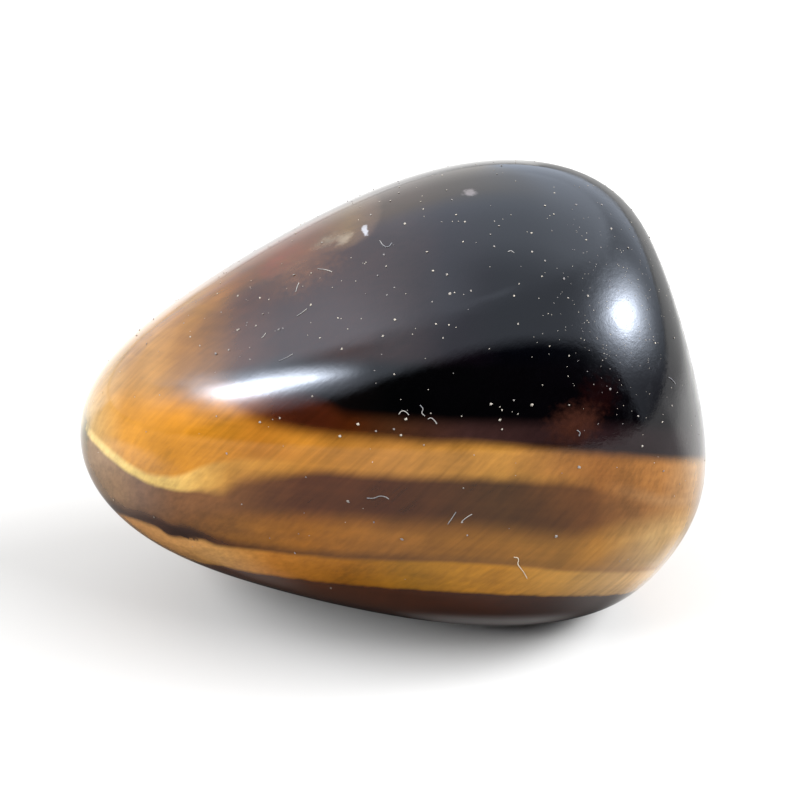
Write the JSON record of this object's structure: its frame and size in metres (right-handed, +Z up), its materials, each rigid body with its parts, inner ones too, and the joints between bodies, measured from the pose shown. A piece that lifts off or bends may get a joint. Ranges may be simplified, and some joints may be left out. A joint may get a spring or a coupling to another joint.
{
  "type": "tumbled tiger's eye stone",
  "caption": "Egg-shaped tumbled quartz pebble with a nose, a blunt end and a small flat spot that it lies on.",
  "frame": {"origin": "middle of the bounding box's footprint, at the level of the flat spot that the stone lies on", "axes": "+X from the pointed nose to the blunt end, along the longest extent; +Y to the back; +Z up"},
  "size_m": [0.0304, 0.0228, 0.0221],
  "materials": {
    "stone": "polished, with golden and brown silky bands under a dark blue-grey cap"
  },
  "bodies": {
    "root": {"stone": "stone"}
  },
  "joints": []
}
